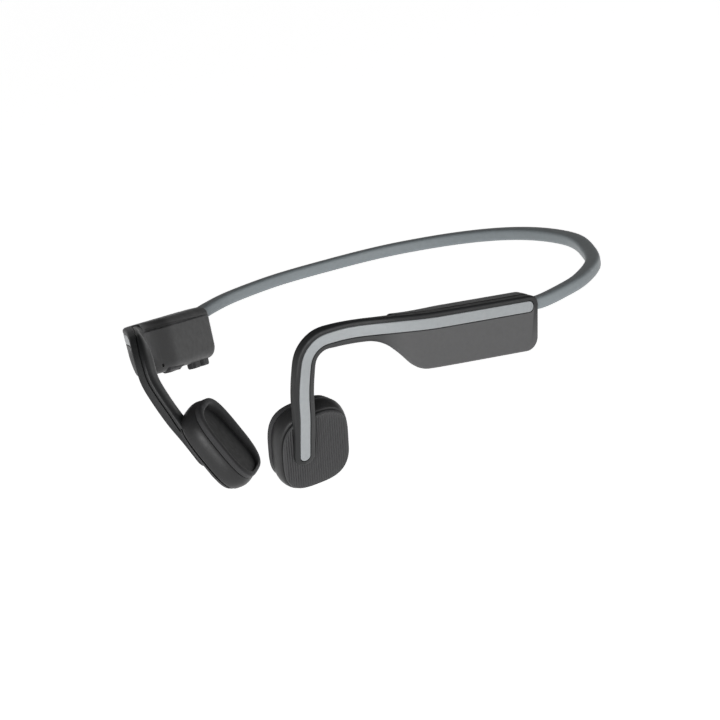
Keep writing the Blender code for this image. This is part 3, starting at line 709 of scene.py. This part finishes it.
def cross_frames(line):
    """Two directions across a line, carried from point to point."""
    frames = []
    side = tangents(line)[0].orthogonal()
    for tangent in tangents(line):
        side = (side - tangent * side.dot(tangent)).normalized()
        frames.append((side, tangent.cross(side)))
    return frames


# Pod, inner shell ------------------------------------------------------------------------

def inner_taper(q):
    """Share of the pod's depth left towards its nose."""
    return mix(1.0, NOSE_SHARE, smoothstep((NOSE_TAPER_START - q) / NOSE_TAPER_LENGTH))


def openings():
    """Cutters for the volume buttons, the charging port, the lamp and the microphone."""
    length, width = BUTTON_HALF_LENGTH + BUTTON_GAP, BUTTON_HALF_WIDTH + BUTTON_GAP
    cutters = [prism_down(rounded_box(q, BUTTON_P, length, width, 1.2, 6), -14.0, -10.6)
               for q in BUTTON_Q.values()]
    front, rear = PORT_Q - FLAP_HALF_LENGTH - 1.3, PORT_Q + FLAP_HALF_LENGTH + 0.3
    inner, outer = PORT_P - FLAP_HALF_WIDTH - 0.35, PORT_P + FLAP_HALF_WIDTH + 0.35
    port = rounded_outline([(front, inner - 0.5, 0.6), (rear, inner, 0.6), (rear, outer, 0.6),
                            (front, outer, 0.6)], 6)
    lamp = [v + LAMP_PLACE for v in circle(LAMP_RADIUS, 24)]
    sound = [v + SOUND_HOLE_PLACE for v in circle(SOUND_HOLE_RADIUS, 20)]
    return cutters + [prism_down(port, -14.0, -9.8), prism_down(lamp, -14.0, -10.6),
                      flat_solid(sound, [(-12.0, 0.0), (-7.6, 0.0)])]


def build_inner_shell(side):
    """Inner half of the pod; the right one has the openings."""
    name = SIDE_NAME[side]
    low = POD_BOTTOM + 0.15
    outline = rounded_outline([
        (POD_REAR, POD_TOP + 0.1, 2.4), (-43.4, POD_TOP + 0.1, 1.2), (-43.6, -3.6, 5.0),
        (-36.8, low, 6.0), (POD_REAR - 0.6, low, 3.6)], 12)
    front, radius = -SHELL_SPLIT - 0.12, 2.3
    layers = [(front, 0.25), (front - 0.2, 0.0), (front - 1.2, -0.02)]
    layers += [(POD_INNER_FACE + radius * (1 - sin(pi / 2 * k / 10)),
                radius * (1 - cos(pi / 2 * k / 10))) for k in range(11)]
    layers.append((POD_INNER_FACE, radius + 0.4))
    solid = flat_solid(outline, layers)
    if side == RIGHT:
        solid = cut_away(solid, openings())
    slice_mesh(solid, steps_between(-43.0, -26.0, 0.8))

    def warp(q, r, p):
        return q, r, (front + (p - front) * inner_taper(q) if p < front else p) + pod_bend(q)

    add_piece(f"{name}_inner_shell", to_frame(solid, POD, warp), side, "shell_charcoal",
              f"{name}_side", [f"{name}_pod_inner_shell"])


def prism_down(outline, low, high):
    """Prism along r from an outline in (q, p), in the flat (q, r, p) coordinates."""
    return bridge_rings([[Vector((v.x, r, v.y)) for v in outline] for r in (low, high)])


# Transducer ------------------------------------------------------------------------------

def cup_outline():
    return superellipse(CUP_HALF_WIDTH, CUP_HALF_HEIGHT, CUP_POWER, RING_POINTS)


def foot_cutter(extra, bottom):
    """The foot's room in the flat hook coordinates, bent into place."""
    top, low, half = ARM_TOP + extra, ARM_LOW - extra, ARM_HALF + extra
    outline = rounded_outline([(TIP - 22.0, top, 0.0), (TIP + extra, top, half - 0.01),
                               (TIP + extra, low, half - 0.01), (TIP - 22.0, low, 0.0)], 12)
    solid = flat_solid(outline, [(3.0, 0.0), (-1.0, 0.0)])
    slice_mesh(solid, steps_between(TIP - 21.5, TIP - 3.0, 0.8))

    def warp(s, v, h):
        return s, v, h if h > 0 else -arm_depth(s) - bottom

    return bend_along_hook(solid, warp)


def build_cup(side):
    """Driver housing with a bulging wall and room for the hook's foot."""
    name = SIDE_NAME[side]
    layers = [(3.1, 1.5), (3.1, 0.55), (3.0, 0.3), (2.75, 0.08), (2.3, -0.1), (1.5, -0.32),
              (0.6, -0.45), (-0.3, -0.42), (-1.1, -0.2), (-1.8, 0.12), (-1.95, 0.35)]
    solid = to_frame(flat_solid(cup_outline(), layers), CUP)
    solid = cut_away(solid, [foot_cutter(0.12, 0.1)])
    add_piece(f"{name}_cup", solid, side, "shell_charcoal", f"{name}_side",
              [f"{name}_driver_housing"])


def plate_half_height(q):
    """Half height of the plate's outline at q."""
    half_q, half_r = CUP_HALF_WIDTH - PLATE_INSET, CUP_HALF_HEIGHT - PLATE_INSET
    return half_r * max(0.0, 1.0 - abs(q / half_q) ** CUP_POWER) ** (1.0 / CUP_POWER)


def plate_height(q, edge):
    """Height of the plate's face at q, edge millimetres in from its rim."""
    lip = PLATE_ROUNDING * (1 - sqrt(max(0.0, 1 - (1 - min(1.0, edge / PLATE_ROUNDING)) ** 2)))
    fade = smoothstep((edge - 0.25) / 0.5)
    wave = 0.5 - 0.5 * cos(2 * pi * q / RIB_PITCH)
    return PLATE_FACE - lip - RIB_HEIGHT * fade * wave ** 1.5


def ribbed_mesh():
    """Plate with ribs along r: one column of points for each step across q."""
    half_q = CUP_HALF_WIDTH - PLATE_INSET
    stations = steps_between(-half_q + 0.6, half_q - 0.6, RIB_PITCH / 8)
    ends = [half_q - 0.6 * (1 - k / 14) ** 2 for k in range(1, 15)]
    stations = [-q for q in reversed(ends)] + stations + ends
    rings = []
    for q in stations:
        top = max(plate_half_height(q), 0.02)
        column = [top * sin(pi / 2 * (k / 12 * 2 - 1)) for k in range(13)]
        ring = [Vector((q, r, plate_height(q, min(top - abs(r), half_q - abs(q)))))
                for r in column]
        rings.append(ring + [Vector((q, top, PLATE_BACK)), Vector((q, -top, PLATE_BACK))])
    return bridge_rings(rings)


def build_plate(side):
    """Ribbed cover; the left one is the multifunction button."""
    name = SIDE_NAME[side]
    node, body = (("multifunction_button", "multifunction_button") if side == LEFT
                  else ("right_driver_cover", "right_side"))
    solid = cut_away(to_frame(ribbed_mesh(), CUP), [foot_cutter(0.3, 0.3)])
    add_piece(f"{name}_ribbed_plate", solid, side, "ribbed_cover", body, [node], sharp=50.0)


def lifted(outline, height):
    return [Vector((v.x, v.y, height)) for v in outline]


def pad_floor_depth(v):
    return -2.7 + 0.055 * v.x + 0.04 * v.y


def pad_rings():
    """Rings from the pad's back over its rim and down into its tilted dish."""
    outer = inset(cup_outline(), 0.1)
    rim = superellipse(CUP_HALF_WIDTH - 0.3, CUP_HALF_HEIGHT - 0.3, 3.2, RING_POINTS)
    rim = [v + PAD_CREST_SHIFT for v in rim]
    floor = [v + PAD_FLOOR_SHIFT for v in superellipse(7.4, 10.0, 3.0, RING_POINTS)]
    rings = [lifted(inset(outer, 0.25), PAD_BACK + 0.05), lifted(outer, PAD_BACK)]
    for k in range(1, 7):
        a = pi / 2 * k / 6
        rings.append(lifted(inset(rim, 0.7 * (1 - cos(a))), -3.1 - 0.7 * sin(a)))
    crest = inset(rim, 1.0)
    rings.append(lifted(crest, PAD_CREST))
    for t, drop in ((0.3, 0.0), (0.5, 0.06), (0.66, 0.25), (0.8, 0.55), (0.9, 0.82), (1.0, 1.0)):
        ring = []
        for a, b in zip(crest, floor):
            v = a.lerp(b, t)
            ring.append(Vector((v.x, v.y, mix(PAD_CREST, pad_floor_depth(b), drop))))
        rings.append(ring)
    for share in (0.9, 0.7, 0.45, 0.2, 0.04):
        rings.append([Vector((v.x * share, v.y * share, pad_floor_depth(v * share)))
                      for v in floor])
    return rings


def build_pad(side):
    """Contact pad: a rim around a dish, with painted shade that darkens the dish below the rim."""
    name = SIDE_NAME[side]
    solid = bridge_rings(pad_rings())
    # Painted shade in the dish: none up to the tenth ring, full from the thirteenth ring down to
    # the floor.
    painted_shade = solid.verts.layers.float.new("painted_shade")
    for i, vert in enumerate(solid.verts):
        vert[painted_shade] = smoothstep((i // RING_POINTS - 10.0) / 3.0)
    add_piece(f"{name}_pad", to_frame(solid, CUP), side, "pad_silicone", f"{name}_side",
              [f"{name}_contact_pad"])


# Buttons and port ------------------------------------------------------------------------

def down_solid(outline, layers):
    """Solid stacked along r from an outline in (q, p); layers are (r, inset)."""
    rings = []
    for r, shrink in layers:
        ring = inset(outline, shrink) if abs(shrink) > 1e-6 else outline
        rings.append([POD @ Vector((v.y, v.x, r)) for v in ring])
    return bridge_rings(rings)


def build_volume_buttons():
    layers = [(-10.2, 0.0), (-12.5, 0.0), (-12.75, 0.04), (-12.95, 0.15), (-13.07, 0.32),
              (-13.1, 0.55), (-13.0, 0.8), (-12.96, 1.0)]
    for label, q in BUTTON_Q.items():
        outline = rounded_box(q, BUTTON_P, BUTTON_HALF_LENGTH, BUTTON_HALF_WIDTH, 1.0, 8)
        add_piece(f"volume_{label}_key", down_solid(outline, layers), RIGHT, "black_silicone",
                  f"volume_{label}_button", [f"volume_{label}_button"])


def build_port_flap():
    flap = rounded_box(PORT_Q, PORT_P, FLAP_HALF_LENGTH, FLAP_HALF_WIDTH, 0.6, 8)
    layers = [(-12.0, 1.4), (-11.97, 1.1), (-11.85, 0.75), (-11.6, 0.35), (-11.35, 0.05),
              (-11.2, 0.0), (-10.4, 0.0)]
    add_piece("port_flap", down_solid(flap, layers), RIGHT, "black_silicone", "port_cover",
              ["port_cover"])


# Band ------------------------------------------------------------------------------------

def half_band(section, offset, longer):
    """Left half of the band, offset outwards and lengthened into the pod."""
    samples = 321
    path = band_path(samples)
    frames = band_frames(path)
    middle = samples // 2
    path, frames = path[:middle + 1], frames[:middle + 1]
    line = [p + out * offset for p, (out, _) in zip(path, frames)]
    line[0] = line[0] + (line[0] - line[1]).normalized() * longer
    return sweep(line, frames, section)


def build_band():
    """Sheath, wire and cable, each in two halves that blend from the band to a side."""
    sheath = superellipse(BAND_WIDTH / 2, BAND_HEIGHT / 2, BAND_POWER, 40)
    for node, section, offset, mat in (
            ("band_sheath", sheath, 0.0, "band_silicone"),
            ("band_wire", circle(0.4, 12), -0.95, "titanium_wire"),
            ("band_cable", circle(0.35, 12), 0.95, "cable_jacket")):
        for side in (LEFT, RIGHT):
            name = SIDE_NAME[side]
            solid = half_band(section, offset, 0.7 if offset else 0.0)
            piece = add_piece(f"{name}_half_{node}", solid, side, mat, None, [node])
            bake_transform(piece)


# Frame nodes that stay -------------------------------------------------------------------

def paint_kept_nodes():
    slots = {entry["node"]: entry["material_slot"] for entry in frame["record"]["subparts"]}
    for name, obj in frame["nodes"].items():
        obj.data.materials.clear()
        obj.data.materials.append(MATS[slots[name]])


# Set, light and camera -------------------------------------------------------------------

def floor_paper():
    """Glowing white paper that can't be seen from below."""
    g = Graph("floor_paper")
    g.link(g.blend(g.ramp(g.noise(3.0, 2.0), 0.0, 1.0), (0.86, 0.86, 0.86), (0.88, 0.88, 0.88)),
           g.shader.inputs["Base Color"])
    g.shader.inputs["Roughness"].default_value = 0.9
    g.shader.inputs["Emission Color"].default_value = (1.0, 1.0, 1.0, 1.0)
    g.shader.inputs["Emission Strength"].default_value = 0.87
    clear = g.add("ShaderNodeBsdfTransparent")
    mixed = g.add("ShaderNodeMixShader")
    g.link(g.add("ShaderNodeNewGeometry").outputs["Backfacing"], mixed.inputs["Fac"])
    g.link(g.shader.outputs["BSDF"], mixed.inputs[1])
    g.link(clear.outputs["BSDF"], mixed.inputs[2])
    g.link(mixed.outputs["Shader"], g.tree.nodes["Material Output"].inputs["Surface"])
    return g.material


def build_floor():
    bm = bmesh.new()
    bmesh.ops.create_grid(bm, x_segments=40, y_segments=40, size=6.0)
    mesh = bpy.data.meshes.new("floor")
    bm.to_mesh(mesh)
    bm.free()
    floor = bpy.data.objects.new("floor", mesh)
    floor.location = (0.0, 0.0, cad_box[0].z - 0.03)
    bpy.context.scene.collection.objects.link(floor)
    mesh.materials.append(floor_paper())


def area_light(name, position, size, power):
    """Rectangular light aimed at the origin."""
    data = bpy.data.lights.new(name, "AREA")
    data.shape = "RECTANGLE"
    data.size, data.size_y = size
    data.energy = power
    light = bpy.data.objects.new(name, data)
    light.location = position
    light.rotation_mode = "QUATERNION"
    light.rotation_quaternion = (-Vector(position)).to_track_quat("-Z", "Y")
    bpy.context.scene.collection.objects.link(light)


def build_world():
    """Bright at and below the horizon, dark overhead."""
    world = bpy.data.worlds.new("studio")
    bpy.context.scene.world = world
    world.use_nodes = True
    tree = world.node_tree
    where = tree.nodes.new("ShaderNodeTexCoord")
    split = tree.nodes.new("ShaderNodeSeparateXYZ")
    ramp = tree.nodes.new("ShaderNodeMapRange")
    for socket, value in (("From Min", -0.1), ("From Max", 0.5), ("To Min", 1.0),
                          ("To Max", 0.06)):
        ramp.inputs[socket].default_value = value
    background = tree.nodes["Background"]
    background.inputs["Color"].default_value = (1.0, 1.0, 1.0, 1.0)
    tree.links.new(where.outputs["Generated"], split.inputs["Vector"])
    tree.links.new(split.outputs["Z"], ramp.inputs["Value"])
    tree.links.new(ramp.outputs["Result"], background.inputs["Strength"])


def build_camera():
    """Camera that sees the part as the photograph does."""
    azimuth, elevation, roll = map(radians, (CAMERA_AZIMUTH, CAMERA_ELEVATION, CAMERA_ROLL))
    back = Vector((sin(azimuth) * cos(elevation), -cos(azimuth) * cos(elevation), sin(elevation)))
    right = Vector((cos(azimuth), sin(azimuth), 0.0))
    up = back.cross(right)
    tilted_right = right * cos(roll) - up * sin(roll)
    tilted_up = up * cos(roll) + right * sin(roll)
    data = bpy.data.cameras.new("camera")
    data.sensor_width = 36.0
    data.lens = CAMERA_LENS
    data.clip_start, data.clip_end = 0.05, 50.0
    camera = bpy.data.objects.new("camera", data)
    place = tilted_right * CAMERA_RIGHT + tilted_up * CAMERA_UP + back * CAMERA_DISTANCE
    turn = Matrix((tilted_right, tilted_up, back)).transposed().to_4x4()
    camera.matrix_world = Matrix.Translation((place - DRAWING_ORIGIN) * MM) @ turn
    bpy.context.scene.collection.objects.link(camera)
    bpy.context.scene.camera = camera
    bpy.context.scene.view_settings.view_transform = "Standard"


# Everything ------------------------------------------------------------------------------

paint_kept_nodes()
for SIDE in (LEFT, RIGHT):
    build_outer_shell(SIDE)
    build_stripe(SIDE)
    build_overmould(SIDE)
    build_cores(SIDE)
    build_inner_shell(SIDE)
    build_cup(SIDE)
    build_plate(SIDE)
    build_pad(SIDE)
build_volume_buttons()
build_port_flap()
build_band()
build_floor()
build_world()
area_light("key", (0.45, -0.8, 0.1), (0.5, 0.5), 7.0)
area_light("side", (0.9, 0.3, -0.02), (0.3, 0.3), 2.0)
build_camera()

bpy.context.view_layer.update()
